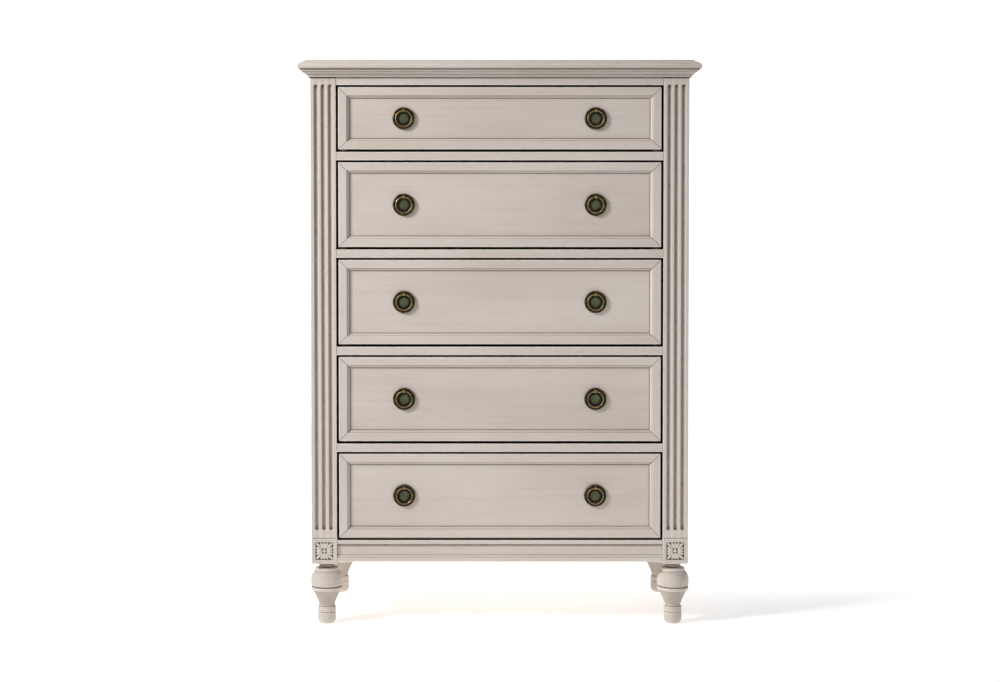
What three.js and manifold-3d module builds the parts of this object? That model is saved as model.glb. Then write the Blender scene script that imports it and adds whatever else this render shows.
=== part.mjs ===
// Tall chest of five drawers: painted case on turned legs, with brass ring pulls.
// Millimetres. +Z up, front faces -Y, +X to the right. Origin on the floor, under the middle of the chest.

import * as THREE from 'three';
import { mergeVertices } from 'three/addons/utils/BufferGeometryUtils.js';
import Module from 'manifold-3d';

const wasm = await Module();
wasm.setup();

// Overall size
const totalWidth = 970;
const totalDepth = 458;
const totalHeight = 1371.5;
const overhang = 27.5;
const seam = 0.2;

// Case
const caseHalf = totalWidth / 2 - overhang;
const front = -totalDepth / 2 + overhang;
const back = totalDepth / 2;
const slabBottom = 1351.5;
const caseTop = slabBottom - seam;
const corniceBottom = 1329.5;

// Posts, pilasters and rosette blocks
const postWidth = 62;
const postInner = caseHalf - postWidth;
const frontPostDepth = 62;
const rearPostDepth = 50;
const blockBottom = 151;
const blockHeight = 61.8;
const blockTop = blockBottom + blockHeight;

// Flutes on the pilasters
const fluteBottom = 232;
const fluteTop = 1313;
const fluteRadius = 5.2;
const fluteCentreProud = 1.1;
const flutePitch = 17;

// Carved rosette
const carvingHalf = 21.5;
const carvingDepth = 3.5;
const petalCount = 16;

// Rails and drawer openings
const topRailBottom = 1311;
const railThickness = 21.2;
const railDepth = 60;
const baseRailTop = 209.8;
const baseRailBottom = 155.9;
const baseRailDepth = 20;
const firstOpening = 159.8;
const otherOpening = 214.15;
const drawerCount = 5;

// Dust panels, runners and guides behind the rails
const innerHalf = 441.2;
const runnerInner = 340;
const dustPanelThickness = 6;
const guideHeight = 10;
const guideWidth = 9;

// Side and back panels
const sidePanelThickness = 14;
const sidePanelInset = 2;
const backPanelThickness = 6;
const backPanelInset = 6;

// Drawers
const frontGap = 3.3;
const frontSideGap = 4;
const frontThickness = 20;
const frontInset = 0.5;
const frameBand = 20.3;
const frameBevel = 7.2;
const panelRecess = 7.5;
const drawerSideThickness = 12;
const drawerHalf = 384.5;
const drawerBack = 165;
const drawerSideDrop = 18;
const drawerBottomRaise = 10;
const drawerBottomThickness = 6;
const runnerClearance = 0.4;

// Ring pulls
const pullSpacing = 464;
const plateRadius = 27.25;
const ringRadius = 19.25;
const ringWire = 2.1;
const eyeRise = 18.5;
const eyeReach = 6.4;
const eyeRadius = 4;
const eyeHoleRadius = 2.75;
const eyeThickness = 6;
const plateGap = 0.2;

// Turned legs
const legInset = 33.9;
const legDepthInset = 34;
const rearLegDepthInset = 39;

// Facets of round pieces
const legFacets = 16;
const plateFacets = 16;
const ringFacets = 24;
const ringSectionFacets = 6;
const fluteFacets = 12;

const group = new THREE.Group();

const finishes = {
  paint: { color: 0xc5bab0, roughness: 0.6, metalness: 0 },
  drawerWood: { color: 0xcbb48f, roughness: 0.75, metalness: 0 },
  brass: { color: 0x57482c, roughness: 0.45, metalness: 0.9 },
};

// ---- helpers ----

function addPart(name, geometry, finish, position = [0, 0, 0]) {
  const material = new THREE.MeshStandardMaterial({ ...finishes[finish] });
  const mesh = new THREE.Mesh(geometry, material);
  mesh.name = name;
  mesh.position.set(...position);
  group.add(mesh);
}

// A box from its low and high corners.
function boxBetween(low, high) {
  const size = high.map((value, axis) => value - low[axis]);
  const geometry = new THREE.BoxGeometry(...size);
  geometry.translate(...high.map((value, axis) => (value + low[axis]) / 2));
  return geometry;
}

function toSolid(geometry) {
  const bare = geometry.clone();
  bare.deleteAttribute('normal');
  bare.deleteAttribute('uv');
  const merged = mergeVertices(bare, 1e-4);
  const vertProperties = new Float32Array(merged.attributes.position.array);
  const triVerts = new Uint32Array(merged.index.array);
  return new wasm.Manifold(new wasm.Mesh({ numProp: 3, vertProperties, triVerts }));
}

function toGeometry(solid) {
  const mesh = solid.getMesh();
  const geometry = new THREE.BufferGeometry();
  geometry.setAttribute('position', new THREE.BufferAttribute(new Float32Array(mesh.vertProperties), 3));
  geometry.setIndex(new THREE.BufferAttribute(new Uint32Array(mesh.triVerts), 1));
  geometry.computeVertexNormals();
  return geometry;
}

function join(geometries) {
  const solids = geometries.map(toSolid);
  return toGeometry(solids.reduce((whole, solid) => whole.add(solid)));
}

function cut(geometry, cutters) {
  return toGeometry(cutters.map(toSolid).reduce((whole, solid) => whole.subtract(solid), toSolid(geometry)));
}

// Four-cornered levels, from low z to high z, joined into one closed solid.
function stack(levels) {
  const points = levels.flatMap(({ z, corners }) => corners.map(([x, y]) => [x, y, z]));
  const faces = [[0, 2, 1], [0, 3, 2]];
  for (let level = 0; level < levels.length - 1; level += 1) {
    for (let side = 0; side < 4; side += 1) {
      const a = level * 4 + side;
      const b = level * 4 + ((side + 1) % 4);
      faces.push([a, b, b + 4], [a, b + 4, a + 4]);
    }
  }
  const last = (levels.length - 1) * 4;
  faces.push([last, last + 1, last + 2], [last, last + 2, last + 3]);
  const geometry = new THREE.BufferGeometry();
  geometry.setAttribute('position', new THREE.Float32BufferAttribute(points.flat(), 3));
  geometry.setIndex(faces.flat());
  geometry.computeVertexNormals();
  return geometry;
}

function rectangle(x0, x1, y0, y1) {
  return [[x0, y0], [x1, y0], [x1, y1], [x0, y1]];
}

// Points on an arc of a turned profile, angles in degrees, 0 pointing away from the axis.
function arc(centreR, centreZ, radius, start, end, steps) {
  return Array.from({ length: steps + 1 }, (_, step) => {
    const angle = THREE.MathUtils.degToRad(start + ((end - start) * step) / steps);
    return [centreR + radius * Math.cos(angle), centreZ + radius * Math.sin(angle)];
  });
}

// A turned solid about +Z from [radius, height] points that begin and end on the axis.
function turned(profile, facets) {
  const geometry = new THREE.LatheGeometry(profile.map(([r, z]) => new THREE.Vector2(r, z)), facets);
  return geometry.rotateX(Math.PI / 2);
}

// ---- top and cornice ----

// Slab edge from the bottom up: [distance out from the case, height].
const slabEdge = [
  [24.5, slabBottom],
  [overhang, 1353.5],
  [overhang, 1359.5],
  [23.5, 1361.2],
  [19.5, 1364.6],
  [16, 1365.5],
  [16, 1366.6],
  [12, 1367.2],
  [10.6, 1369.9],
  [6.5, totalHeight],
];

// Bed moulding from the bottom up: a bead, a cove and a fillet.
const corniceEdge = [
  [2.5, corniceBottom],
  [5, 1331],
  [5, 1334],
  [7.5, 1335.5],
  [9, 1338.5],
  [12.5, 1341.8],
  [16, 1343.7],
  [16.6, 1345.6],
  [19.7, 1346],
  [19.7, caseTop],
];

function addTop() {
  const levels = slabEdge.map(([out, z]) => ({
    z,
    corners: rectangle(-caseHalf - out, caseHalf + out, front - out, back),
  }));
  addPart('top_panel', stack(levels), 'paint');
}

function addCorniceFront() {
  const levels = corniceEdge.map(([out, z]) => ({
    z,
    corners: [
      [-caseHalf - out, front - seam - out],
      [caseHalf + out, front - seam - out],
      [caseHalf, front - seam],
      [-caseHalf, front - seam],
    ],
  }));
  addPart('cornice_front', stack(levels), 'paint');
}

function addCorniceSide(name, side) {
  const near = caseHalf + seam;
  const levels = corniceEdge.map(([out, z]) => {
    const corners = [
      [near, front],
      [near + out, front - out],
      [near + out, back],
      [near, back],
    ];
    const mirrored = corners.map(([x, y]) => [-x, y]).reverse();
    return { z, corners: side > 0 ? corners : mirrored };
  });
  addPart(name, stack(levels), 'paint');
}

// ---- posts and blocks ----

// A long round-ended cutter for one flute.
function fluteCutter(x) {
  const straight = fluteTop - fluteBottom - 2 * fluteRadius;
  const cutter = new THREE.CapsuleGeometry(fluteRadius, straight, 3, fluteFacets);
  cutter.rotateX(Math.PI / 2);
  return cutter.translate(x, front - fluteCentreProud, (fluteTop + fluteBottom) / 2);
}

function addPilaster(name, side) {
  const centre = side * (caseHalf - postWidth / 2);
  const low = [centre - postWidth / 2, front, blockTop + seam];
  const high = [centre + postWidth / 2, front + frontPostDepth, caseTop];
  const flutes = [-1, 0, 1].map((place) => fluteCutter(centre + place * flutePitch));
  addPart(name, cut(boxBetween(low, high), flutes), 'paint');
}

// The carved square: petals that reach out to the frame, cut as one low relief.
function petalOutline() {
  const shape = new THREE.Shape();
  const steps = petalCount * 4;
  for (let step = 0; step < steps; step += 1) {
    const angle = (step / steps) * 2 * Math.PI;
    const square = carvingHalf / Math.max(Math.abs(Math.cos(angle)), Math.abs(Math.sin(angle)));
    const reach = square * (0.87 + 0.08 * Math.cos(petalCount * angle));
    const point = [reach * Math.cos(angle), reach * Math.sin(angle)];
    if (step === 0) shape.moveTo(...point);
    else shape.lineTo(...point);
  }
  shape.closePath();
  return shape;
}

function rosette() {
  const petals = new THREE.ExtrudeGeometry(petalOutline(), { depth: carvingDepth - 0.5, bevelEnabled: false });
  const button = new THREE.CylinderGeometry(3, 4, carvingDepth + 1, 12);
  button.rotateX(Math.PI / 2).translate(0, 0, carvingDepth / 2);
  const relief = join([petals, button]);
  return relief.rotateX(Math.PI / 2);
}

function addRosetteBlock(name, side) {
  const centre = side * (caseHalf - postWidth / 2);
  const middle = blockBottom + blockHeight / 2;
  const low = [centre - postWidth / 2, front, blockBottom];
  const high = [centre + postWidth / 2, front + frontPostDepth, blockTop];
  const pocketLow = [centre - carvingHalf, front - 1, middle - carvingHalf];
  const pocketHigh = [centre + carvingHalf, front + carvingDepth, middle + carvingHalf];
  const block = cut(boxBetween(low, high), [boxBetween(pocketLow, pocketHigh)]);
  const carving = rosette().translate(centre, front + carvingDepth + 0.5, middle);
  addPart(name, join([block, carving]), 'paint');
}

function addRearPost(name, side) {
  const centre = side * (caseHalf - postWidth / 2);
  const low = [centre - postWidth / 2, back - rearPostDepth, blockBottom];
  const high = [centre + postWidth / 2, back, caseTop];
  addPart(name, boxBetween(low, high), 'paint');
}

// ---- panels ----

function addSidePanel(name, side) {
  const outer = caseHalf - sidePanelInset;
  const xs = [side * (outer - sidePanelThickness), side * outer].sort((a, b) => a - b);
  const low = [xs[0], front + frontPostDepth + seam, baseRailBottom];
  const high = [xs[1], back - rearPostDepth - seam, caseTop];
  addPart(name, boxBetween(low, high), 'paint');
}

function addBackPanel() {
  const half = postInner - seam;
  const outer = back - backPanelInset;
  const low = [-half, outer - backPanelThickness, baseRailBottom];
  addPart('back_panel', boxBetween(low, [half, outer, caseTop]), 'drawerWood');
}

// ---- rails and dividers ----

function addTopRail() {
  const half = postInner - seam;
  addPart('top_rail', boxBetween([-half, front, topRailBottom], [half, front + baseRailDepth, caseTop]), 'paint');
}

// Base rail from the bottom up: [distance back from the front face, height].
const baseProfile = [
  [0.6, baseRailBottom],
  [0.6, 165.5],
  [2.4, 167],
  [4.4, 171.5],
  [6.6, 172.5],
  [6.6, 194],
  [5, 197.4],
  [1.2, 199.8],
  [0.4, 201],
  [0.4, baseRailTop],
];

function addBaseRail() {
  const half = postInner - seam;
  const levels = baseProfile.map(([inset, z]) => ({
    z,
    corners: rectangle(-half, half, front + inset, front + baseRailDepth),
  }));
  addPart('base_rail', stack(levels), 'paint');
}

// Runners, guide strips, rear rail and dust panel that lie behind a front rail, top face at z = 0.
function runnerFrame(panelFront) {
  const start = front + frontPostDepth + seam;
  const end = back - rearPostDepth - seam;
  const half = innerHalf;
  const panelBottom = -railThickness / 2;
  const panelLow = [-runnerInner - 1, panelFront, panelBottom];
  const panelHigh = [runnerInner + 1, end - 1, panelBottom + dustPanelThickness];
  const rearRail = boxBetween([-half, end - railDepth, -railThickness], [half, end, 0]);
  const boxes = [rearRail, boxBetween(panelLow, panelHigh)];
  for (const side of [-1, 1]) {
    const runner = [side * runnerInner, side * half].sort((a, b) => a - b);
    const guide = [side * (postInner - guideWidth), side * postInner].sort((a, b) => a - b);
    boxes.push(boxBetween([runner[0], start, -railThickness], [runner[1], end, 0]));
    boxes.push(boxBetween([guide[0], start, -1], [guide[1], end, guideHeight]));
  }
  return boxes;
}

function addDivider(name, top) {
  const half = postInner - seam;
  const rail = boxBetween([-half, front, -railThickness], [half, front + frontPostDepth + 1, 0]);
  addPart(name, join([rail, ...runnerFrame(front + frontPostDepth)]), 'paint', [0, 0, top]);
}

function addBottomBoard() {
  const half = postInner - seam;
  const start = front + baseRailDepth + seam;
  const board = boxBetween([-half, start, -railThickness], [half, front + frontPostDepth + 1, 0]);
  addPart('bottom_board', join([board, ...runnerFrame(front + frontPostDepth)]), 'paint', [0, 0, baseRailTop]);
}

// ---- legs ----

const legProfile = [
  [0, 0],
  [12, 0],
  ...arc(12, 9.7, 9.7, -60, 0, 3),
  [21.7, 27],
  [20.2, 28.2],
  [21.7, 29.4],
  [21.7, 42.2],
  [19.2, 44.4],
  [19.2, 47.5],
  [23, 58],
  [29.3, 72.5],
  [34.2, 82],
  [38.2, 85.5],
  [38.4, 89],
  [36.2, 91],
  [37.9, 94],
  ...arc(19, 109, 19.6, -10, 62, 4),
  [28.2, 129],
  [28.2, 135.5],
  [22, 137.5],
  [19.6, 141],
  [24, blockBottom - seam],
  [0, blockBottom - seam],
];

function addLeg(name, side, y) {
  addPart(name, turned(legProfile, legFacets), 'paint', [side * (caseHalf - legInset), y, 0]);
}

// ---- drawers ----

function addDrawerFront(name, height, centreZ) {
  const half = postInner - frontSideGap;
  const rings = [
    [0, 0],
    [0, frontThickness],
    [frameBand, frontThickness],
    [frameBand + frameBevel, frontThickness - panelRecess],
  ];
  const levels = rings.map(([inset, z]) => {
    const x = half - inset;
    const y = height / 2 - inset;
    return { z, corners: rectangle(-x, x, -y, y) };
  });
  const faceY = front + frontInset;
  const geometry = stack(levels).rotateX(Math.PI / 2);
  addPart(name, geometry, 'paint', [0, faceY + frontThickness, centreZ]);
}

// Two sides and a back, dovetailed into one piece that is open in front, above and below.
function addDrawerBox(name, low, high) {
  const start = front + frontInset + frontThickness + seam;
  const walls = [-1, 1].map((side) => {
    const xs = [side * (drawerHalf - drawerSideThickness), side * drawerHalf].sort((a, b) => a - b);
    return boxBetween([xs[0], start, low], [xs[1], drawerBack, high]);
  });
  const backFoot = low + drawerBottomRaise + drawerBottomThickness + seam;
  const backHalf = drawerHalf - 1;
  walls.push(boxBetween([-backHalf, drawerBack - drawerSideThickness, backFoot], [backHalf, drawerBack, high]));
  addPart(name, join(walls), 'drawerWood');
}

function addDrawerBottom(name, low) {
  const half = drawerHalf - drawerSideThickness - seam;
  const start = front + frontInset + frontThickness + seam;
  const bottom = low + drawerBottomRaise;
  addPart(name, boxBetween([-half, start, bottom], [half, drawerBack, bottom + drawerBottomThickness]), 'drawerWood');
}

// ---- ring pulls ----

// Backplate: flat back, raised rim, dished groove and a low dome. Heights are out from the panel.
const plateProfile = [
  [0, 0],
  [plateRadius - 1, 0],
  [plateRadius, 1.2],
  [plateRadius - 0.8, 4.2],
  [plateRadius - 2.4, 5],
  [plateRadius - 4, 4.2],
  [21, 1.9],
  [12, 1.9],
  [8.5, 3.7],
  [0, 4.1],
];

// The eye: a tab with a round end and a hole for the ring.
function eye() {
  const shape = new THREE.Shape();
  shape.moveTo(-eyeRadius, 1);
  shape.lineTo(eyeRadius, 1);
  shape.lineTo(eyeRadius, eyeReach);
  shape.absarc(0, eyeReach, eyeRadius, 0, Math.PI, false);
  shape.closePath();
  const hole = new THREE.Path();
  hole.absarc(0, eyeReach, eyeHoleRadius, 0, 2 * Math.PI, true);
  shape.holes.push(hole);
  const tab = new THREE.ExtrudeGeometry(shape, { depth: eyeThickness, bevelEnabled: false, curveSegments: 6 });
  tab.translate(0, 0, -eyeThickness / 2);
  return tab.rotateX(Math.PI / 2).rotateZ(Math.PI / 2);
}

// Backplate and eye in one casting, standing on the z = 0 plane, eye towards +Y.
function backplate() {
  const tab = eye().translate(0, eyeRise, 0);
  return join([turned(plateProfile, plateFacets), tab]).rotateX(Math.PI / 2);
}

function ring() {
  const geometry = new THREE.TorusGeometry(ringRadius, ringWire, ringSectionFacets, ringFacets);
  geometry.rotateZ(Math.PI / 2);
  return geometry.rotateX(Math.PI / 2);
}

function addPull(suffix, x, panelY, z) {
  const seatY = panelY - plateGap;
  addPart(`backplate_${suffix}`, backplate(), 'brass', [x, seatY, z]);
  addPart(`ring_${suffix}`, ring(), 'brass', [x, seatY - eyeReach, z + eyeRise - ringRadius]);
}

function addDrawer(number, openingBottom, openingHeight) {
  const frontHeight = openingHeight - 2 * frontGap;
  const centreZ = openingBottom + openingHeight / 2;
  const boxLow = openingBottom + runnerClearance;
  const boxHigh = centreZ + frontHeight / 2 - drawerSideDrop;
  addDrawerFront(`drawer_front_${number}`, frontHeight, centreZ);
  addDrawerBox(`drawer_box_${number}`, boxLow, boxHigh);
  addDrawerBottom(`drawer_bottom_${number}`, boxLow);
  const panelY = front + frontInset + panelRecess;
  addPull(`${number}_left`, -pullSpacing / 2, panelY, centreZ);
  addPull(`${number}_right`, pullSpacing / 2, panelY, centreZ);
}

// ---- assembly ----

addTop();
addCorniceFront();
addTopRail();
addBaseRail();
addBottomBoard();
addBackPanel();
for (const [word, side] of [['left', -1], ['right', 1]]) {
  addCorniceSide(`cornice_${word}`, side);
  addPilaster(`pilaster_${word}`, side);
  addRosetteBlock(`rosette_block_${word}`, side);
  addRearPost(`rear_post_${word}`, side);
  addSidePanel(`side_panel_${word}`, side);
  addLeg(`leg_front_${word}`, side, front + legDepthInset);
  addLeg(`leg_back_${word}`, side, back - rearLegDepthInset);
}

let openingTop = topRailBottom;
for (let number = 1; number <= drawerCount; number += 1) {
  const openingHeight = number === 1 ? firstOpening : otherOpening;
  const openingBottom = openingTop - openingHeight;
  addDrawer(number, openingBottom, openingHeight);
  if (number < drawerCount) addDivider(`drawer_divider_${number}`, openingBottom);
  openingTop = openingBottom - railThickness;
}

export default group;
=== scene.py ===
import math

import bmesh
import bpy
from mathutils import Matrix, Vector


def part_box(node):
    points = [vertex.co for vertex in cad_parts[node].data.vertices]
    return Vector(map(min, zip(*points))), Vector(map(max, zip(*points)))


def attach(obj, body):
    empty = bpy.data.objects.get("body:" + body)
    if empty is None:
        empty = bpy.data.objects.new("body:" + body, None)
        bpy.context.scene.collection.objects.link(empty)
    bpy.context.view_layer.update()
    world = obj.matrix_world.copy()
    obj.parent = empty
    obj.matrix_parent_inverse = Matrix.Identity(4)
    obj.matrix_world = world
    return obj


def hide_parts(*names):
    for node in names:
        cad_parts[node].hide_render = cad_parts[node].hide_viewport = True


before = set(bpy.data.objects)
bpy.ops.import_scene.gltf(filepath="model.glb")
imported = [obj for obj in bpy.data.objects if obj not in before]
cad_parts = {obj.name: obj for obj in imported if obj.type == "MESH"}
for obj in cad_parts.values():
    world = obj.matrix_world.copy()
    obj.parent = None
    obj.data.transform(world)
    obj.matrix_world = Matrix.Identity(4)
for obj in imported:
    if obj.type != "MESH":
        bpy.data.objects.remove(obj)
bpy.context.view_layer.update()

mm = 0.001                 # sizes are in millimetres and become metres when a mesh is made
print("frame loaded:", len(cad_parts), "nodes")


def boxOf(node):
    low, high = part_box(node)
    return [value / mm for value in low], [value / mm for value in high]


def addObject(name, data):
    made = bpy.data.objects.new(name, data)
    bpy.context.collection.objects.link(made)
    return made


class wire:                # an output socket that can be used in sums
    def __init__(self, maker, socket):
        self.maker, self.socket = maker, socket

    def combine(self, operation, first, second):
        return self.maker.make("ShaderNodeMath", {"operation": operation}, {0: first, 1: second})

    def alone(self, operation):
        return self.maker.make("ShaderNodeMath", {"operation": operation}, {0: self})

    def __add__(self, other):
        return self.combine("ADD", self, other)

    def __radd__(self, other):
        return self.combine("ADD", other, self)

    def __sub__(self, other):
        return self.combine("SUBTRACT", self, other)

    def __rsub__(self, other):
        return self.combine("SUBTRACT", other, self)

    def __mul__(self, other):
        return self.combine("MULTIPLY", self, other)

    def __rmul__(self, other):
        return self.combine("MULTIPLY", other, self)

    def __truediv__(self, other):
        return self.combine("DIVIDE", self, other)

    def __rtruediv__(self, other):
        return self.combine("DIVIDE", other, self)


class nodeMaker:           # makes the nodes of one tree
    def __init__(self, tree):
        self.tree = tree

    def plug(self, socket, value):
        if isinstance(value, wire):
            self.tree.links.new(value.socket, socket)
        elif value is not None:
            socket.default_value = value

    def make(self, kind, settings=None, inputs=None, output=0):
        node = self.tree.nodes.new(kind)
        for key, value in (settings or {}).items():
            setattr(node, key, value)
        for key, value in (inputs or {}).items():
            self.plug(node.inputs[key], value)
        return wire(self, node.outputs[output]) if len(node.outputs) else node

    def mix(self, factor, first, second):  # sockets 6, 7 and 2 are the colour ones
        return self.make("ShaderNodeMix", {"data_type": "RGBA", "clamp_factor": True},
                         {0: factor, 6: first, 7: second}, 2)

    def ramp(self, value, low, high):      # 0 below low, 1 above high, smooth between
        return self.make("ShaderNodeMapRange", {"interpolation_type": "SMOOTHSTEP"},
                         {"Value": value, "From Min": low, "From Max": high})

    def noise(self, vector, scale, detail, roughness):
        return self.make("ShaderNodeTexNoise", None,
                         {"Vector": vector, "Scale": scale, "Detail": detail, "Roughness": roughness})

    def bump(self, strength, distance, height):
        return self.make("ShaderNodeBump", None,
                         {"Strength": strength, "Distance": distance, "Height": height})

    def place(self):
        return self.make("ShaderNodeTexCoord", None, None, "Object")

    def edge(self):
        return self.make("ShaderNodeAttribute", {"attribute_name": "edge"}, None, "Fac")


def colour(red, green, blue):              # screen values 0-255 to linear
    def linear(value):
        value /= 255
        return value / 12.92 if value <= 0.04045 else ((value + 0.055) / 1.055) ** 2.4
    return (linear(red), linear(green), linear(blue), 1.0)


def startMaterial(name):
    material = bpy.data.materials.new(name)
    material.use_nodes = True
    tree = material.node_tree
    tree.nodes.clear()
    return material, nodeMaker(tree)


def endMaterial(maker, inputs):
    shader = maker.make("ShaderNodeBsdfPrincipled", None, inputs)
    maker.make("ShaderNodeOutputMaterial", None, {"Surface": shader})


def grainVector(maker, axis, along, across, offset=(0.0, 0.0, 0.0)):
    scale = [across, across, across]
    scale["xyz".index(axis)] = along
    return maker.make("ShaderNodeMapping", None,
                      {"Vector": maker.place(), "Scale": scale, "Location": offset})


paintFinish = {
    "paint": colour(204, 195, 187),
    "cloudPaint": colour(193, 182, 172),
    # glaze colour, also used as painted shade in hollows, under overhangs and on faces meant to look shaded
    "glazeAndShade": colour(96, 78, 64),
    # painted deep shade for the gaps round the drawers and under the mouldings
    "paintedDeepShade": colour(30, 25, 21),
    # worn paint, also a painted highlight on faces given raised edge values
    "rubbedAndHighlit": colour(226, 219, 209),
    "cloudScale": 5.0,     # waves per metre across the grain
    "streakScale": 90.0,
    "grainScale": 620.0,
    "patchScale": 60.0,
    "glazeInGrain": 0.16,
    "glazeInSpecks": 0.5,
    "wear": 0.75,
    "roughness": 0.52,
    "bump": 0.00035,
}


def paintMaterial(name, axis, offset):
    settings = paintFinish
    grainScale, patchScale = settings["grainScale"], settings["patchScale"]
    material, maker = startMaterial(name)
    edge = maker.edge()
    broad = maker.noise(grainVector(maker, axis, 1.6, settings["cloudScale"], offset), 1.0, 3.0, 0.55)
    streaks = maker.noise(grainVector(maker, axis, 3.0, settings["streakScale"], offset), 1.0, 5.0, 0.65)
    grain = maker.noise(grainVector(maker, axis, 14.0, grainScale, offset), 1.0, 3.0, 0.6)
    patches = maker.noise(grainVector(maker, axis, patchScale, patchScale), 1.0, 4.0, 0.6)
    specks = maker.noise(grainVector(maker, axis, 420.0, grainScale), 1.0, 1.0, 0.4)
    body = maker.mix(maker.ramp(broad, 0.3, 0.72), settings["paint"], settings["cloudPaint"])
    lines = maker.ramp(streaks, 0.45, 0.72) * 0.5 + maker.ramp(grain, 0.52, 0.78) * 0.75
    body = maker.mix(lines * settings["glazeInGrain"], body, settings["glazeAndShade"])
    dots = maker.ramp(specks, 0.76, 0.8) * maker.ramp(patches, 0.5, 0.62)
    body = maker.mix(dots * settings["glazeInSpecks"], body, settings["glazeAndShade"])
    # glaze where edge values are below 0, together with painted shade in hollows and on faces given low
    # values
    glazeAndShadeMask = maker.ramp(edge * -1.0, 0.02, 1.0) * (0.55 + patches * 0.75)
    body = maker.mix(glazeAndShadeMask, body, settings["glazeAndShade"])
    # painted deep shade where edge values fall below -1.1
    body = maker.mix(maker.ramp(edge * -1.0, 1.1, 1.9), body, settings["paintedDeepShade"])
    # wear on arrises, and painted highlight where edge values were raised to make faces look lit
    worn = maker.ramp(edge, 0.1, 1.0) * maker.ramp(patches + streaks * 0.25, 0.42, 0.66)
    body = maker.mix(worn * settings["wear"], body, settings["rubbedAndHighlit"])
    height = streaks * 0.5 + grain * 0.35 + patches * 0.25
    bump = maker.bump(0.55, settings["bump"], height)
    endMaterial(maker, {"Base Color": body, "Normal": bump, "Specular IOR Level": 0.42,
                        "Roughness": settings["roughness"] + streaks * 0.14 + glazeAndShadeMask * 0.15})
    return material


woodFinish = {
    "light": colour(214, 190, 150),
    "dark": colour(176, 141, 98),
    "stainAndShade": colour(92, 68, 44),
    "flowScale": 22.0,     # waves per metre across the grain
    "ringScale": 26.0,
    "poreScale": 900.0,
    "roughness": 0.5,
    "bump": 0.0003,
}


def woodMaterial(name, axis, tone):        # tone is how strongly the dark wood shows
    settings = woodFinish
    material, maker = startMaterial(name)
    edge = maker.edge()
    flow = maker.noise(grainVector(maker, axis, 1.2, settings["flowScale"]), 1.0, 4.0, 0.55)
    rings = maker.make("ShaderNodeTexWave", {"wave_type": "BANDS", "bands_direction": "DIAGONAL"},
                       {"Vector": grainVector(maker, axis, 1.4, settings["ringScale"]), "Scale": 1.1,
                        "Distortion": 7.0, "Detail": 3.0, "Detail Scale": 1.2}, "Fac")
    pores = maker.noise(grainVector(maker, axis, 30.0, settings["poreScale"]), 1.0, 3.0, 0.6)
    depth = maker.ramp(flow, 0.3, 0.75) * 0.5 + rings * 0.3 + maker.ramp(pores, 0.55, 0.8) * 0.35
    body = maker.mix(depth * tone, settings["light"], settings["dark"])
    # stain with painted shade where edge values are below 0
    shade = maker.mix(maker.ramp(edge * -1.0, 0.05, 1.0) * 0.5, body, settings["stainAndShade"])
    bump = maker.bump(0.5, settings["bump"], pores + flow)
    endMaterial(maker, {"Base Color": shade, "Normal": bump,
                        "Roughness": settings["roughness"] + pores * 0.2})
    return material


brassFinish = {
    "patina": colour(3, 30, 17),
    "brown": colour(74, 56, 24),
    "gold": colour(178, 146, 96),
    "green": colour(14, 60, 40),
    # painted reflection on the domed middle of a backplate
    "dome": colour(84, 88, 60),            # the paler middle of a backplate
    "blotchScale": 130.0,
    "fineScale": 900.0,
    "roughness": 0.4,
    "bump": 0.00025,
}


def brassMaterial():
    settings = brassFinish
    material, maker = startMaterial("antiquedBrass")
    edge = maker.edge()
    place = maker.place()
    blotch = maker.noise(place, settings["blotchScale"], 4.0, 0.6)
    fine = maker.noise(place, settings["fineScale"], 3.0, 0.65)
    body = maker.mix(maker.ramp(blotch, 0.46, 0.66), settings["patina"], settings["brown"])
    body = maker.mix(maker.ramp(fine, 0.55, 0.72) * 0.35, body, settings["green"])
    # painted reflection on the dome, where edge values reach 2
    dome = maker.ramp(edge, 1.3, 1.9)
    # worn gold on the rims, the eye and the front of the ring, also a painted highlight there
    rubbedAndHighlit = maker.ramp(edge + (blotch - 0.5) * 0.9, 0.4, 1.2) * (1 - dome)
    body = maker.mix(rubbedAndHighlit * 0.85, body, settings["gold"])
    deep = maker.ramp(edge * -1.0, 0.1, 0.9)
    body = maker.mix(deep * 0.8, body, settings["patina"])
    body = maker.mix(dome * (0.25 + blotch * 1.1), body, settings["dome"])
    bump = maker.bump(0.4, settings["bump"], fine + blotch)
    endMaterial(maker, {"Base Color": body, "Normal": bump, "Metallic": 0.5 + rubbedAndHighlit * 0.45,
                        "Roughness": settings["roughness"] - rubbedAndHighlit * 0.12 + fine * 0.1})
    return material


steelFinish = {
    "clean": colour(120, 118, 112),
    "rusty": colour(84, 74, 62),
    "rustScale": 300.0,
    "roughness": 0.4,
}


def steelMaterial():
    settings = steelFinish
    material, maker = startMaterial("nailSteel")
    rust = maker.noise(maker.place(), settings["rustScale"], 3.0, 0.6)
    body = maker.mix(maker.ramp(rust, 0.45, 0.7), settings["clean"], settings["rusty"])
    endMaterial(maker, {"Base Color": body, "Metallic": 0.85,
                        "Roughness": settings["roughness"] + rust * 0.2})
    return material


paintAlong = {
    "x": paintMaterial("paintGrainAcross", "x", (0.3, 0.1, 0.7)),
    "y": paintMaterial("paintGrainDeep", "y", (0.5, 0.9, 0.2)),
    "z": paintMaterial("paintGrainUp", "z", (0.8, 0.4, 0.6)),
}
woodAlongX = woodMaterial("drawerWoodAcross", "x", 0.8)
woodAlongY = woodMaterial("drawerWoodDeep", "y", 0.8)
plywood = woodMaterial("plywood", "z", 0.7)
brass = brassMaterial()
nailSteel = steelMaterial()
print("finishes made")


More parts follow.
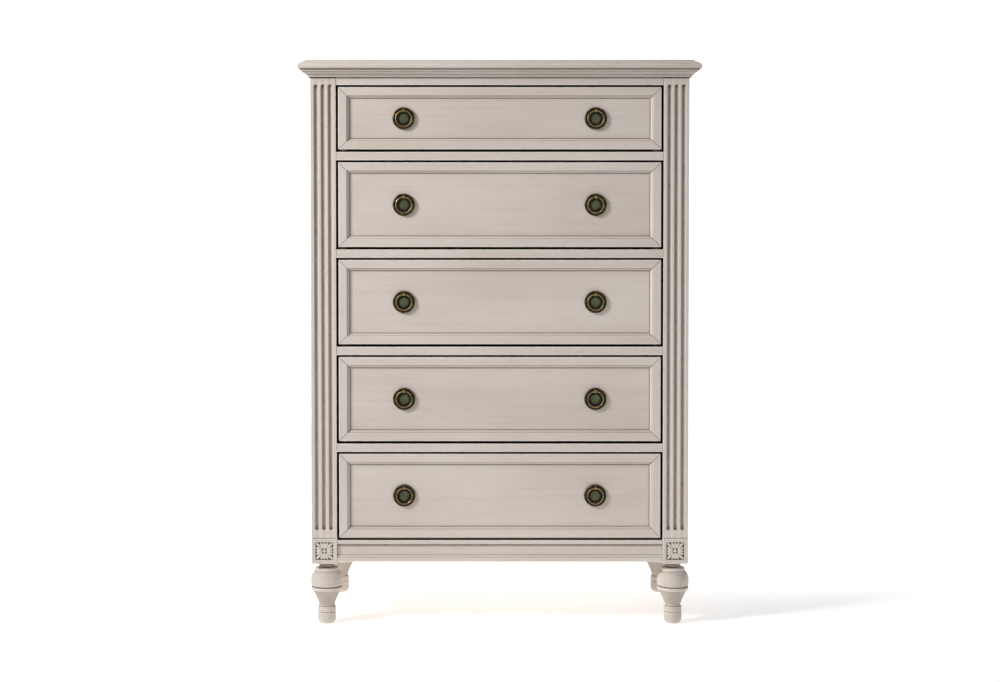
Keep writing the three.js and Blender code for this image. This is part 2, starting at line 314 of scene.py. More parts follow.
class solidMesh:
    # loops of points skinned into closed shells; a point's edge value is above 0 on a worn arris and where a
    # highlight is painted, below 0 for glaze and painted shade, and from -1.1 down painted deep shade, as
    # dark as the inside of the case
    def __init__(self):
        self.points, self.edges, self.faces, self.slots = [], [], [], []

    def loop(self, points):
        first = len(self.points)
        for x, y, z, edge in points:
            self.points.append((x * mm, y * mm, z * mm))
            self.edges.append(edge)
        return list(range(first, len(self.points)))

    def skin(self, loops, slot=0, ringed=False):
        pairs = list(zip(loops, loops[1:]))
        if ringed:
            pairs.append((loops[-1], loops[0]))
        for lower, upper in pairs:
            for i in range(len(lower)):
                j = (i + 1) % len(lower)
                self.addFace((lower[i], lower[j], upper[j], upper[i]), slot)
        if not ringed:
            self.addFace(tuple(reversed(loops[0])), slot)
            self.addFace(tuple(loops[-1]), slot)

    def addFace(self, face, slot):
        self.faces.append(face)
        self.slots.append(slot)


def meshOf(name, solid, sharp):            # faces that meet at more than this many degrees stay crisp
    mesh = bpy.data.meshes.new(name)
    mesh.from_pydata(solid.points, [], solid.faces)
    mesh.attributes.new("edge", "FLOAT", "POINT").data.foreach_set("value", solid.edges)
    mesh.polygons.foreach_set("material_index", solid.slots)
    work = bmesh.new()
    work.from_mesh(mesh)
    bmesh.ops.remove_doubles(work, verts=work.verts, dist=1e-6)
    bmesh.ops.recalc_face_normals(work, faces=work.faces)
    work.to_mesh(mesh)
    work.free()
    mesh.shade_smooth()
    mesh.set_sharp_from_angle(angle=math.radians(sharp))
    return mesh


def makePiece(name, solid, materials, body, nodes=(), sharp=38):
    placePiece(name, meshOf(name, solid, sharp), materials, body, nodes)


def placePiece(name, mesh, materials, body, nodes=()):
    piece = addObject(name, mesh)
    for material in materials:
        mesh.materials.append(material)
    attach(piece, body)
    if nodes:
        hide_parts(*nodes)


softening = {
    "fullTurn": 1.2,       # a corner that turns this many radians or more is fully worn or glazed
    "crispRadius": 1.6,    # and larger radii are less so
    "shareOfSide": 0.46,   # the most of a straight that one corner's round may take
    "fewSteps": 3,
    "manySteps": 7,
    "longStraight": 2.2,   # times the fade: such a straight gets a plain point at both ends
    "shortStraight": 0.6,  # and such a one gets one in its middle
}


def soften(corners, closed=False, fade=2.2):
    # corners are (u, v, radius) or (u, v, radius, edge), with the solid on their left; the outline
    # that comes back is rounded and made of (u, v, edge), and a corner's edge value fades along
    # its straights unless the next corner is given the same value
    settings = softening
    count = len(corners)
    arcs = []
    for i, (u, v, radius, *given) in enumerate(corners):
        here = Vector((u, v))
        if not closed and i in (0, count - 1):
            arcs.append([(here, given[0] if given else 0.0)])
            continue
        before = Vector(corners[i - 1][:2]) - here
        after = Vector(corners[(i + 1) % count][:2]) - here
        cross = after.x * before.y - after.y * before.x
        angle = math.pi - before.angle(after)
        side = 1 if cross > 0 else -1
        worn = min(1.0, angle / settings["fullTurn"]) * min(1.0, settings["crispRadius"] / max(radius, 1.0))
        edge = given[0] if given else side * worn
        if radius == 0:
            arcs.append([(here, edge)])
            continue
        cut = min(radius * math.tan(angle / 2), min(before.length, after.length) * settings["shareOfSide"])
        start, end = here + before.normalized() * cut, here + after.normalized() * cut
        steps = settings["fewSteps"] if radius < 2 else settings["manySteps"]
        arcs.append([(start * (1 - t) ** 2 + here * 2 * t * (1 - t) + end * t ** 2, edge)
                     for t in (step / steps for step in range(steps + 1))])
    outline = []
    for i, arc in enumerate(arcs):
        outline += [(point.x, point.y, edge) for point, edge in arc]
        if closed or i < count - 1:
            start, end = arc[-1][0], arcs[(i + 1) % count][0][0]
            gap = (end - start).length
            fixed, following = corners[i][3:], corners[(i + 1) % count][3:]
            flat = fixed[0] if fixed and fixed == following else 0.0
            if gap > fade * settings["longStraight"]:
                shares = (fade / gap, 1 - fade / gap)
                outline += [(*(start + (end - start) * share), flat) for share in shares]
            elif gap > fade * settings["shortStraight"]:
                outline.append((*((start + end) / 2), flat))
    return outline


def shrink(outline, amount):               # moves a closed outline inwards
    moved = []
    count = len(outline)
    for i, (u, v, edge) in enumerate(outline):
        before, after = outline[i - 1], outline[(i + 1) % count]
        along = Vector((after[0] - before[0], after[1] - before[1]))
        inward = Vector((-along.y, along.x)).normalized() if along.length > 0 else Vector((0, 0))
        moved.append((u + inward.x * amount, v + inward.y * amount, edge))
    return moved


def strongest(first, second):
    return first if abs(first) > abs(second) else second


def roundedRectangle(x0, x1, y0, y1, radius=0.8, fade=2.2):
    return soften([(x0, y0, radius), (x1, y0, radius), (x1, y1, radius), (x0, y1, radius)], True, fade)


def addRun(solid, outline, placeAt, length, slot=0, joint=0.3, fade=2.0, ends=(-0.9, -0.9)):
    # a moulding: placeAt(share, u, v) gives the point of the outline that far along the run; its
    # ends are chamfered by the joint and take the edge values in ends, which fade out again
    tight = shrink(outline, joint)
    first, last = ends
    inner = 0.8            # of an end's edge value is left past its chamfer
    levels = [(0.0, tight, first), (joint / length, outline, first * inner), (fade / length, outline, 0.0),
              (1 - fade / length, outline, 0.0), (1 - joint / length, outline, last * inner),
              (1.0, tight, last)]
    loops = []
    for share, shape, end in levels:
        loops.append(solid.loop([(*placeAt(share, u, v), strongest(edge, end)) for u, v, edge in shape]))
    solid.skin(loops, slot)


def addSoftBox(solid, low, high, radius=0.8, slot=0, fade=2.2):
    # a board with eased edges, built from loops around its longest side
    size = [high[i] - low[i] for i in range(3)]
    longest = size.index(max(size))
    u, v = (longest + 1) % 3, (longest + 2) % 3
    thinShare = min(size) * 0.2
    fade = min(fade, thinShare)
    radius = min(radius, thinShare)
    outline = roundedRectangle(low[u], high[u], low[v], high[v], radius, fade)
    start, end = low[longest], high[longest]
    # (place, inset, wear): 0 keeps the flat end plain, and None leaves the outline's own edge values
    levels = [(start, radius + fade, 0.0), (start, radius, 0.8), (start + radius * 0.3, radius * 0.3, 1.0),
              (start + radius, 0.0, 0.9), (start + radius + fade, 0.0, None)]
    levels += [(start + end - place, inset, wear) for place, inset, wear in reversed(levels)]
    loops = []
    for place, inset, wear in levels:
        points = []
        for a, b, edge in outline:
            point = [0.0, 0.0, 0.0]
            point[longest] = place
            point[u] = min(max(a, low[u] + inset), high[u] - inset)
            point[v] = min(max(b, low[v] + inset), high[v] - inset)
            if wear is not None:
                edge = max(wear, edge) if wear > 0 else 0.0
            points.append((*point, edge))
        loops.append(solid.loop(points))
    solid.skin(loops, slot)


def buildBoard(node, name, radius, material, body="carcass"):
    solid = solidMesh()
    addSoftBox(solid, *boxOf(node), radius)
    makePiece(name, solid, [material], body, [node])


def addTurned(solid, profile, placeAt, facets):
    # profile of (radius, height, edge) from axis to axis; placeAt(r, h, angle) gives the point
    loops = []
    pinhole = 0.05         # the first and last loops are never quite a point
    for radius, height, edge in profile:
        r = max(radius, pinhole)
        loops.append(solid.loop([(*placeAt(r, height, 2 * math.pi * step / facets), edge)
                                 for step in range(facets)]))
    solid.skin(loops)


caseLow, caseHigh = boxOf("pilaster_left")[0], boxOf("pilaster_right")[1]
caseHalf = caseHigh[0]
frontY = caseLow[1]
backY = boxOf("rear_post_left")[1][1]

corniceBottom = boxOf("cornice_front")[0][2]
# painted shadow under the cornice
corniceShadowLine = [(3.2, 0.0), (2.0, -1.4)]      # (below the cornice, edge), down to the dark line there

topSlab = {
    # edge values: painted shade under the overhang, a painted highlight on the upper ogee, wear on the
    # arrises
    "outline": [(-40, 0, 0, -1.0), (20.2, 0, 0, -1.2), (20.6, -2.4, 0.3, -1.3), (26.3, -2.4, 0.4, -1.0),
                (27.5, -1.4, 0.6, 0.1), (27.5, 7.6, 0.7, 0.9), (24.4, 9.0, 3.2, 0.6), (19.6, 13.3, 3.2, 0.8),
                (16.2, 14.0, 0.3, 0.4), (16.0, 15.3, 0.3, 0.8), (12.2, 15.5, 0.3, -0.5),
                (11.0, 19.4, 3.6, 0.0), (6.5, 20, 0.6, -0.7), (-40, 20, 0)],
    "cornerRadius": 0.9,
    "cornerWear": 0.7,
    "flatFrom": 5.0,       # nearer the middle than this the slab's corners add no wear
}


def buildTopSlab():
    # one loop around the slab for each point of the outline; the back is flush with the case
    settings = topSlab
    low, _ = boxOf("top_panel")
    solid = solidMesh()
    loops = []
    for out, up, edge in soften(settings["outline"]):
        outline = roundedRectangle(-caseHalf - out, caseHalf + out, frontY - out, backY + min(out, 0.0),
                                   settings["cornerRadius"])
        wear = settings["cornerWear"] if out > settings["flatFrom"] else 0.0
        loops.append(solid.loop([(x, y, low[2] + up, strongest(edge, corner * wear))
                                 for x, y, corner in outline]))
    solid.skin(loops)
    makePiece("topSlab", solid, [paintAlong["x"]], "carcass", ["top_panel"])


cornice = {
    # edge values: painted shadow at the foot and under the slab, a painted lift of light on the cove, wear on
    # the arrises
    "outline": [(0.2, 0, 0, -1.9), (3.4, 0, 0.4, -1.6), (5.3, 1.0, 1.0, -0.2), (5.3, 4.4, 1.3),
                (3.7, 5.4, 0.3, -1.3), (6.9, 6.1, 0.4, 0.5), (8.4, 10.2, 4.4, 0.35), (15.8, 11.8, 0.4, 0.7),
                (15.8, 13.0, 0.3, -1.1), (19.7, 13.6, 0.7, 0.8), (19.7, 16.8, 0, 0.3), (19.7, 17.6, 0, -1.3),
                (19.7, 21.6, 0.5, -1.7), (0.2, 21.6, 0, -1.0)],
    "fade": 1.4,
    "mitreGap": 0.15,
    "sideEnds": (-0.9, 0.4),               # dark in the mitre, worn at the back
}


def buildCornice():
    settings = cornice
    outline = soften(settings["outline"], True, settings["fade"])
    gap = settings["mitreGap"]

    def alongFront(share, u, v):
        return ((share * 2 - 1) * (caseHalf + u - gap), frontY - u, corniceBottom + v)

    solid = solidMesh()
    addRun(solid, outline, alongFront, 2 * caseHalf)
    makePiece("corniceFront", solid, [paintAlong["x"]], "carcass", ["cornice_front"])
    for word, side in (("left", -1), ("right", 1)):
        def alongSide(share, u, v):
            start, end = frontY - u + gap, backY
            return (side * (caseHalf + u), start + (end - start) * share, corniceBottom + v)

        solid = solidMesh()
        addRun(solid, outline, alongSide, backY - frontY, ends=settings["sideEnds"])
        makePiece(f"cornice{word.title()}", solid, [paintAlong["y"]], "carcass", [f"cornice_{word}"])


pilaster = {
    "flutes": 3,
    "pitch": 17.0,
    "radius": 5.3,
    "centreProud": 1.0,
    "fromBottom": 19.4,    # end of the flutes above the foot of the pilaster
    "fromTop": 38.3,
    "cornerRadius": 1.0,
    # painted shade at the ends of the flutes
    "endShadeLength": 12.0,      # length over which the dark ends of the flutes fade
    "arris": 0.35,         # from a flute out to the worn line beside it
    "land": 1.6,           # and to the flat land between the flutes
    "arrisEdge": 0.7,
    # painted highlight on the land between the flutes
    "landHighlight": 0.45,
    "columns": 12,
    "endRows": 9,
}


def flutedRow(x0, x1, y0, y1, reach, stainAndShade, innerX):
    # outline of the pilaster where the flutes' cutting circle has the radius reach; its flank at
    # innerX is beside the drawers and takes painted deep shade
    settings = pilaster
    proud = settings["centreProud"]
    centre = (x0 + x1) / 2
    radius = settings["cornerRadius"]
    full = math.sqrt(settings["radius"] ** 2 - proud ** 2)
    deepest = settings["radius"] - proud
    half = math.sqrt(max(reach ** 2 - proud ** 2, 0.0))
    face = []
    for flute in range(settings["flutes"]):
        middle = centre + (flute - (settings["flutes"] - 1) / 2) * settings["pitch"]
        wide = half if half > 0 else full
        face.append((middle - wide - settings["land"], y0, settings["landHighlight"]))
        face.append((middle - wide - settings["arris"], y0, settings["arrisEdge"]))
        for step in range(settings["columns"] + 1):
            t = step / settings["columns"] * 2 - 1
            depth = math.sqrt(max(reach ** 2 - (half * t) ** 2, 0.0)) - proud if half > 0 else 0.0
            depth = max(depth, 0.0)
            if half > 0 and abs(t) == 1:
                depth = min(0.3, half * 0.2)
            # glaze deeper in the flute, and painted shade that grows towards its ends
            dark = -stainAndShade * (0.35 + 0.65 * depth / deepest) if half > 0 else 0.0
            face.append((middle + wide * t, y0 + depth, dark))
        face.append((middle + wide + settings["arris"], y0, settings["arrisEdge"]))
        face.append((middle + wide + settings["land"], y0, settings["landHighlight"]))
    rest = [(x, y, -2.0 if abs(x - innerX) < 0.01 and y > y0 + 2 * radius else edge)
            for x, y, edge in roundedRectangle(x0, x1, y0, y1, radius)]
    split = len(rest) // 4                 # points of one corner with the flanks after it
    return rest[1:split - 1] + face + rest[split - 1:] + rest[:1]


def buildPilaster(word):
    settings = pilaster
    low, high = boxOf(f"pilaster_{word}")
    bottom, top = low[2] + settings["fromBottom"], high[2] - settings["fromTop"]
    radius = settings["radius"]
    innerX = high[0] if word == "left" else low[0]
    rows = [(low[2] + 0.1, 0.0, -0.9), (low[2] + 0.6, 0.0, -0.7), (low[2] + 3, 0.0, 0.0),
            (bottom - 0.3, 0.0, 0.0)]
    ends = []
    for step in range(settings["endRows"] + 1):
        angle = math.pi / 2 * step / settings["endRows"]
        reach = max(radius * math.sin(angle), settings["centreProud"] + 0.02)
        ends.append((bottom + radius * (1 - math.cos(angle)), reach, 0.0))
    ends.append((bottom + settings["endShadeLength"], radius, 0.0))
    rows += ends + [(bottom + top - z, reach, edge) for z, reach, edge in reversed(ends)]
    rows.append((top + 0.3, 0.0, 0.0))
    # painted shadow under the cornice, and painted deep shade where the cornice covers the pilaster
    rows += [(corniceBottom - under, 0.0, edge) for under, edge in corniceShadowLine]
    rows += [(corniceBottom, 0.0, -1.8), (high[2], 0.0, -1.8)]
    solid = solidMesh()
    loops = []
    for z, reach, end in rows:
        # painted shade strengthens towards the ends of the flutes
        depthEnd = min(z - bottom, top - z) / settings["endShadeLength"]
        stainAndShade = 0.6 + 0.4 * max(0.0, 1 - depthEnd)
        outline = flutedRow(low[0], high[0], low[1], high[1], reach, stainAndShade, innerX)
        loops.append(solid.loop([(x, y, z, strongest(edge, end)) for x, y, edge in outline]))
    solid.skin(loops)
    makePiece(f"pilaster{word.title()}", solid, [paintAlong["z"]], "carcass", [f"pilaster_{word}"],
              sharp=50)


rosette = {
    "half": 21.5,          # half the width of the sunk square
    "depth": 3.6,
    "cornerRadius": 0.9,
    # painted shade on the sunk floor around the petals
    "floorShade": -1.7,
    "petals": 16,
    "petalHeight": 3.1,
    "petalWidth": 0.45,    # of the distance from the centre
    "petalRows": 12,
    "petalColumns": 8,
    "tipFrom": 0.62,       # the share of a petal's length from which it narrows to its tip
    "innerRadius": 5.6,
    "buttonRadius": 4.4,
    "buttonHeight": 3.5,
    "buttonFacets": 32,
}


def buildRosetteBlock(word):
    settings = rosette
    low, high = boxOf(f"rosette_block_{word}")
    middle = [(low[i] + high[i]) / 2 for i in range(3)]
    halfX, halfZ = (high[0] - low[0]) / 2, (high[2] - low[2]) / 2
    face, floorY = low[1], low[1] + settings["depth"]
    sunk = halfX - settings["half"]
    rings = [(0, high[1], 0.0), (0, face + 3.2, 0.0), (0, face + 1.0, 0.9), (0.35, face + 0.3, 1.0),
             (1.1, face, 0.8), (3.2, face, 0.0), (sunk - 1.6, face, 0.0), (sunk - 0.3, face, 0.5),
             (sunk, face + 0.5, 0.2), (sunk + 0.3, floorY, settings["floorShade"]),
             (sunk + 9, floorY, settings["floorShade"])]
    solid = solidMesh()
    loops = []
    for inset, y, edge in rings:
        outline = roundedRectangle(-halfX + inset, halfX - inset, -halfZ + inset, halfZ - inset,
                                   settings["cornerRadius"])
        loops.append(solid.loop([(middle[0] + u, y, middle[2] + v,
                                  strongest(edge, corner * 0.8) if inset < 2 else edge)
                                 for u, v, corner in outline]))
    solid.skin(loops)
    makePiece(f"rosetteBlock{word.title()}", solid, [paintAlong["z"]], "carcass", [f"rosette_block_{word}"])
    buildPetals(word, middle, floorY)


def petalMesh():
    # one petal along +X, its back on y = 0, swelling towards -Y
    settings = rosette
    rows, columns = settings["petalRows"], settings["petalColumns"]
    outerRadius = settings["half"] - 0.9
    tipFrom = settings["tipFrom"]
    solid = solidMesh()
    loops = []
    for row in range(rows + 1):
        t = row / rows
        reach = settings["innerRadius"] + (outerRadius - settings["innerRadius"]) * t
        tip = math.sqrt(max(1 - max(0, (t - tipFrom) / (1 - tipFrom)) ** 2, 0.004))
        wide = (reach * settings["petalWidth"] / 2 + 0.15) * tip
        swell = 0.55 + 0.45 * math.sin(math.pi * min(1, t * 1.15))
        rise = settings["petalHeight"] * swell * (0.35 + 0.65 * tip)
        section = []
        for column in range(columns + 1):
            a = math.pi * column / columns
            ridge = math.sin(a)
            # the valleys take painted shade, deeper towards the tips, and the ridges are lighter
            valleyShade = 0.35 + 0.9 * max(0, (t - 0.5) * 2)
            edge = ridge ** 2 * (0.8 + valleyShade) - valleyShade
            section.append((reach, -rise * ridge ** 0.8 - 0.02, wide * math.cos(a), edge))
        loops.append(solid.loop(section))
    solid.skin(loops)
    return meshOf("petal", solid, 50)


def startTree(name, sockets):
    tree = bpy.data.node_groups.new(name, "GeometryNodeTree")
    tree.interface.new_socket("Geometry", in_out="OUTPUT", socket_type="NodeSocketGeometry")
    for label, kind in sockets:
        tree.interface.new_socket(label, in_out="INPUT", socket_type=kind)
    maker = nodeMaker(tree)
    source = tree.nodes.new("NodeGroupInput")
    given = {label: wire(maker, source.outputs[label]) for label, _ in sockets}
    return tree, maker, given


def endTree(maker, instances, finish):
    real = maker.make("GeometryNodeRealizeInstances", None, {"Geometry": instances})
    done = maker.make("GeometryNodeSetMaterial", None, {"Geometry": real, "Material": finish})
    maker.make("NodeGroupOutput", None, {"Geometry": done})


def growFrom(tree, values, name):
    # runs a tree on an empty object and returns its result as a plain mesh
    host = addObject(name + "Host", bpy.data.meshes.new(name + "Host"))
    modifier = host.modifiers.new("nodes", "NODES")
    modifier.node_group = tree
    for item in tree.interface.items_tree:
        if item.in_out == "INPUT" and item.name in values:
            modifier[item.identifier] = values[item.name]
    evaluated = host.evaluated_get(bpy.context.evaluated_depsgraph_get())
    mesh = bpy.data.meshes.new_from_object(evaluated)
    mesh.name = name
    bpy.data.objects.remove(host)
    return mesh


def petalTree():
    # a wheel of petals, each stretched until its tip reaches the square's side
    tree, maker, given = startTree("petalWheel", [("Petal", "NodeSocketObject"), ("Count", "NodeSocketInt"),
                                                  ("Finish", "NodeSocketMaterial")])
    index = maker.make("GeometryNodeInputIndex")
    angle = index * (2 * math.pi) / given["Count"]
    across, upward = angle.alone("COSINE"), angle.alone("SINE")
    widest = across.combine("MAXIMUM", across.alone("ABSOLUTE"), upward.alone("ABSOLUTE"))
    stretch = maker.make("ShaderNodeCombineXYZ", None, {0: 1 / widest, 1: 1.0, 2: 1.0})
    turn = maker.make("ShaderNodeCombineXYZ", None, {0: 0.0, 1: angle, 2: 0.0})
    points = maker.make("GeometryNodeMeshLine", None, {"Count": given["Count"], "Offset": (0.0, 0.0, 0.0)})
    shape = maker.make("GeometryNodeObjectInfo", None, {"Object": given["Petal"]}, "Geometry")
    wheel = maker.make("GeometryNodeInstanceOnPoints", None,
                       {"Points": points, "Instance": shape, "Rotation": turn, "Scale": stretch})
    endTree(maker, wheel, given["Finish"])
    return tree


def buildPetals(word, middle, floorY):
    settings = rosette
    petal = addObject("petal", petalMesh())
    name = f"rosettePetals{word.title()}"
    values = {"Petal": petal, "Count": settings["petals"], "Finish": paintAlong["z"]}
    mesh = growFrom(petalTree(), values, name)
    mesh.transform(Matrix.Translation((middle[0] * mm, floorY * mm, middle[2] * mm)))
    bpy.data.objects.remove(petal)
    placePiece(name, mesh, [], "carcass")
    button = solidMesh()
    r, h = settings["buttonRadius"], settings["buttonHeight"]
    profile = soften([(0, 0, 0), (r, 0, 0), (r, h * 0.5, 0.6), (r * 0.72, h * 0.8, 0.5), (r * 0.6, h, 1.4),
                      (0, h, 0)], False, 1.0)
    addTurned(button, profile, lambda radius, up, a: (middle[0] + radius * math.cos(a), floorY - up,
                                                      middle[2] + radius * math.sin(a)),
              settings["buttonFacets"])
    makePiece(f"rosetteButton{word.title()}", button, [paintAlong["z"]], "carcass")


sidePanel = {
    "bandTop": 62.0,       # plain band above and below the sunk field
    "bandSide": 6.0,
    "bevel": 8.0,
    "recess": 5.0,
}


def buildSidePanel(word, side):
    settings = sidePanel
    low, high = boxOf(f"side_panel_{word}")
    bandY, bandZ, bevel, recess = (settings[key] for key in ("bandSide", "bandTop", "bevel", "recess"))
    thick = high[0] - low[0]
    rings = [(0, 0, thick, 0.0), (0, 0, 3, -0.3), (0, 0, 0.6, -0.5), (0.6, 0.6, 0, -0.4), (2.5, 2.5, 0, 0.0),
             (bandY - 1, bandZ - 2, 0, 0.0), (bandY, bandZ, 0, 0.7), (bandY + 0.4, bandZ + 0.4, 0.8, -0.5),
             (bandY + bevel, bandZ + bevel, recess, -0.9),
             (bandY + bevel + 3, bandZ + bevel + 3, recess, 0.0)]
    outer = high[0] if side > 0 else low[0]
    solid = solidMesh()
    loops = []
    for insetY, insetZ, deep, edge in rings:
        x = outer - side * deep
        corners = [(low[1] + insetY, low[2] + insetZ), (high[1] - insetY, low[2] + insetZ),
                   (high[1] - insetY, high[2] - insetZ), (low[1] + insetY, high[2] - insetZ)]
        loops.append(solid.loop([(x, y, z, edge) for y, z in corners]))
    solid.skin(loops)
    makePiece(f"sidePanel{word.title()}", solid, [paintAlong["z"]], "carcass", [f"side_panel_{word}"])


def railOutline(low, high, topEdge=0.9):
    # closed outline of a rail as (out, up): out is measured forwards from the case front
    face, tall = frontY - low[1], high[2] - low[2]
    rear = frontY - high[1]
    lip = face - 1.4
    # the flanks above and below the face take painted deep shade for the gaps beside the drawers
    outline = [(rear, 0, 0, -2), (lip, 0, 0, -2), (face, 0, 0.7), (face, tall, 0.7, topEdge),
               (lip, tall, 0, -2), (rear, tall, 0, -2)]
    # the rail under the cornice takes the painted shadow line below it
    if topEdge < 0:                        # the rail under the cornice takes its dark line
        line = corniceBottom - low[2]
        outline.insert(3, (face, line, 0, topEdge))
        outline[3:3] = [(face, line - under, 0, edge) for under, edge in corniceShadowLine]
    return soften(outline, True)


def buildRail(solid, low, high, outline):
    def along(share, u, v):
        return (low[0] + (high[0] - low[0]) * share, frontY - u, low[2] + v)

    addRun(solid, outline, along, high[0] - low[0])


# painted deep shade on the top rail where the cornice covers it
topRailShade = -1.9

baseRail = {
    # edge values: painted shadow under the top band and on the sunk field, painted deep shade on the hidden
    # back, wear on the arrises
    "outline": [(-20, 0, 0), (-0.5, 0, 0.9), (-0.5, 9.6, 0.8, 0.3), (-2.2, 10.9, 0.3, -0.6),
                (-2.6, 12.2, 0.3, 0.3), (-5.2, 15.6, 3.0, 0.0), (-6.4, 16.4, 0.3, -0.6),
                (-6.4, 38.2, 0.4, -1.0), (-5.6, 41.6, 2.4, -0.8), (-2.0, 43.6, 0.4, -0.7),
                (-0.9, 43.8, 0.3, 0.2), (-0.4, 45.2, 0.8, 0.6), (-0.4, 52.9, 0.8, 0.9), (-2.8, 52.9, 0, -2.0),
                (-20, 52.9, 0, -2.0)],
    "fade": 1.8,
}


def buildFrontRails():
    low, high = boxOf("top_rail")
    solid = solidMesh()
    buildRail(solid, low, high, railOutline(low, high, topRailShade))
    makePiece("topRail", solid, [paintAlong["x"]], "carcass", ["top_rail"])
    low, high = boxOf("base_rail")
    solid = solidMesh()
    buildRail(solid, low, high, soften(baseRail["outline"], True, baseRail["fade"]))
    makePiece("baseRail", solid, [paintAlong["x"]], "carcass", ["base_rail"])


carrier = {
    "railDepth": 62.0,
    "runnerWidth": 100.0,
    "rearRail": 60.0,
    "dustPanel": 6.0,
    "guideWidth": 9.0,
    "guideHeight": 10.0,
    "railDrop": 1.0,       # the front rail sits this far below the runners
    "gap": 0.2,            # between parts that are glued end to end
}


def addCarrier(solid, low, high, start):
    # runners, guides, rear rail and dust panel behind a front rail; start is where they begin,
    # and their wood runs along X in material 1 and along Y in material 2
    settings = carrier
    gap = settings["gap"]
    top = high[2] - settings["guideHeight"]
    bottom = low[2]
    inner = high[0] - settings["runnerWidth"]
    rearRail = high[1] - settings["rearRail"]
    postInner = boxOf("pilaster_right")[0][0]
    addSoftBox(solid, (-high[0], rearRail, bottom), (high[0], high[1], top), 0.6, 1)
    middle = (bottom + top) / 2
    addSoftBox(solid, (-inner + gap, start, middle - settings["dustPanel"]),
               (inner - gap, rearRail - gap, middle), 0.4, 1)
    for side in (-1, 1):
        xs = sorted((side * inner, side * high[0]))
        addSoftBox(solid, (xs[0], start, bottom), (xs[1], rearRail - gap, top), 0.6, 2)
        xs = sorted((side * (postInner - settings["guideWidth"]), side * postInner))
        addSoftBox(solid, (xs[0], start, top + 0.1), (xs[1], high[1], high[2]), 0.6, 2)


def buildDivider(number):
    low, high = boxOf(f"drawer_divider_{number}")
    half = boxOf("top_rail")[1][0]
    railEnd = low[1] + carrier["railDepth"]
    railLow = [-half, low[1], low[2]]
    railHigh = [half, railEnd, high[2] - carrier["guideHeight"] - carrier["railDrop"]]
    solid = solidMesh()
    buildRail(solid, railLow, railHigh, railOutline(railLow, railHigh))
    addCarrier(solid, low, high, railEnd + carrier["gap"])
    makePiece(f"divider{number}", solid, [paintAlong["x"], woodAlongX, woodAlongY], "carcass",
              [f"drawer_divider_{number}"])


def buildBottomBoard():
    low, high = boxOf("bottom_board")
    half = boxOf("top_rail")[1][0]
    start = frontY + carrier["railDepth"]
    solid = solidMesh()
    addSoftBox(solid, (-half, low[1], low[2]), (half, start, high[2] - carrier["guideHeight"]), 0.8, 1)
    addCarrier(solid, low, high, start + carrier["gap"])
    makePiece("bottomBoard", solid, [paintAlong["x"], woodAlongX, woodAlongY], "carcass", ["bottom_board"])


nails = {
    "spacing": 95.0,
    "inset": 9.0,          # from the panel's edge
    "headRadius": 3.2,
    "headHeight": 1.1,
    "facets": 16,
}


def nailTree():
    tree, maker, given = startTree("nailRow", [("Nail", "NodeSocketObject"), ("Width", "NodeSocketFloat"),
                                               ("Height", "NodeSocketFloat"), ("Spacing", "NodeSocketFloat"),
                                               ("Finish", "NodeSocketMaterial")])
    path = maker.make("GeometryNodeCurvePrimitiveQuadrilateral", None,
                      {"Width": given["Width"], "Height": given["Height"]})
    even = maker.make("GeometryNodeResampleCurve", {"mode": "LENGTH"},
                      {"Curve": path, "Length": given["Spacing"]})
    points = maker.make("GeometryNodeCurveToPoints", {"mode": "EVALUATED"}, {"Curve": even}, "Points")
    shape = maker.make("GeometryNodeObjectInfo", None, {"Object": given["Nail"]}, "Geometry")
    row = maker.make("GeometryNodeInstanceOnPoints", None, {"Points": points, "Instance": shape})
    endTree(maker, row, given["Finish"])
    return tree


def buildBackPanel():
    settings = nails
    low, high = boxOf("back_panel")
    buildBoard("back_panel", "backPanel", 0.5, plywood)
    head = solidMesh()
    wide, tall = settings["headRadius"], settings["headHeight"]
    profile = soften([(0, 0, 0), (wide, 0, 0), (wide, tall, 0.7), (0, tall, 0)], False, 0.8)
    addTurned(head, profile, lambda radius, up, a: (radius * math.cos(a), radius * math.sin(a), up),
              settings["facets"])
    mesh = bpy.data.meshes.new("nail")
    mesh.from_pydata(head.points, [], head.faces)
    mesh.shade_smooth()
    nail = addObject("nail", mesh)
    inset = settings["inset"]
    values = {"Nail": nail, "Width": (high[0] - low[0] - 2 * inset) * mm,
              "Height": (high[2] - low[2] - 2 * inset) * mm, "Spacing": settings["spacing"] * mm,
              "Finish": nailSteel}
    grown = growFrom(nailTree(), values, "backNails")
    bpy.data.objects.remove(nail)
    middle = Vector((0, high[1] * mm, (low[2] + high[2]) / 2 * mm))
    grown.transform(Matrix.Translation(middle) @ Matrix.Rotation(math.radians(-90), 4, "X"))
    placePiece("backNails", grown, [], "carcass", ())


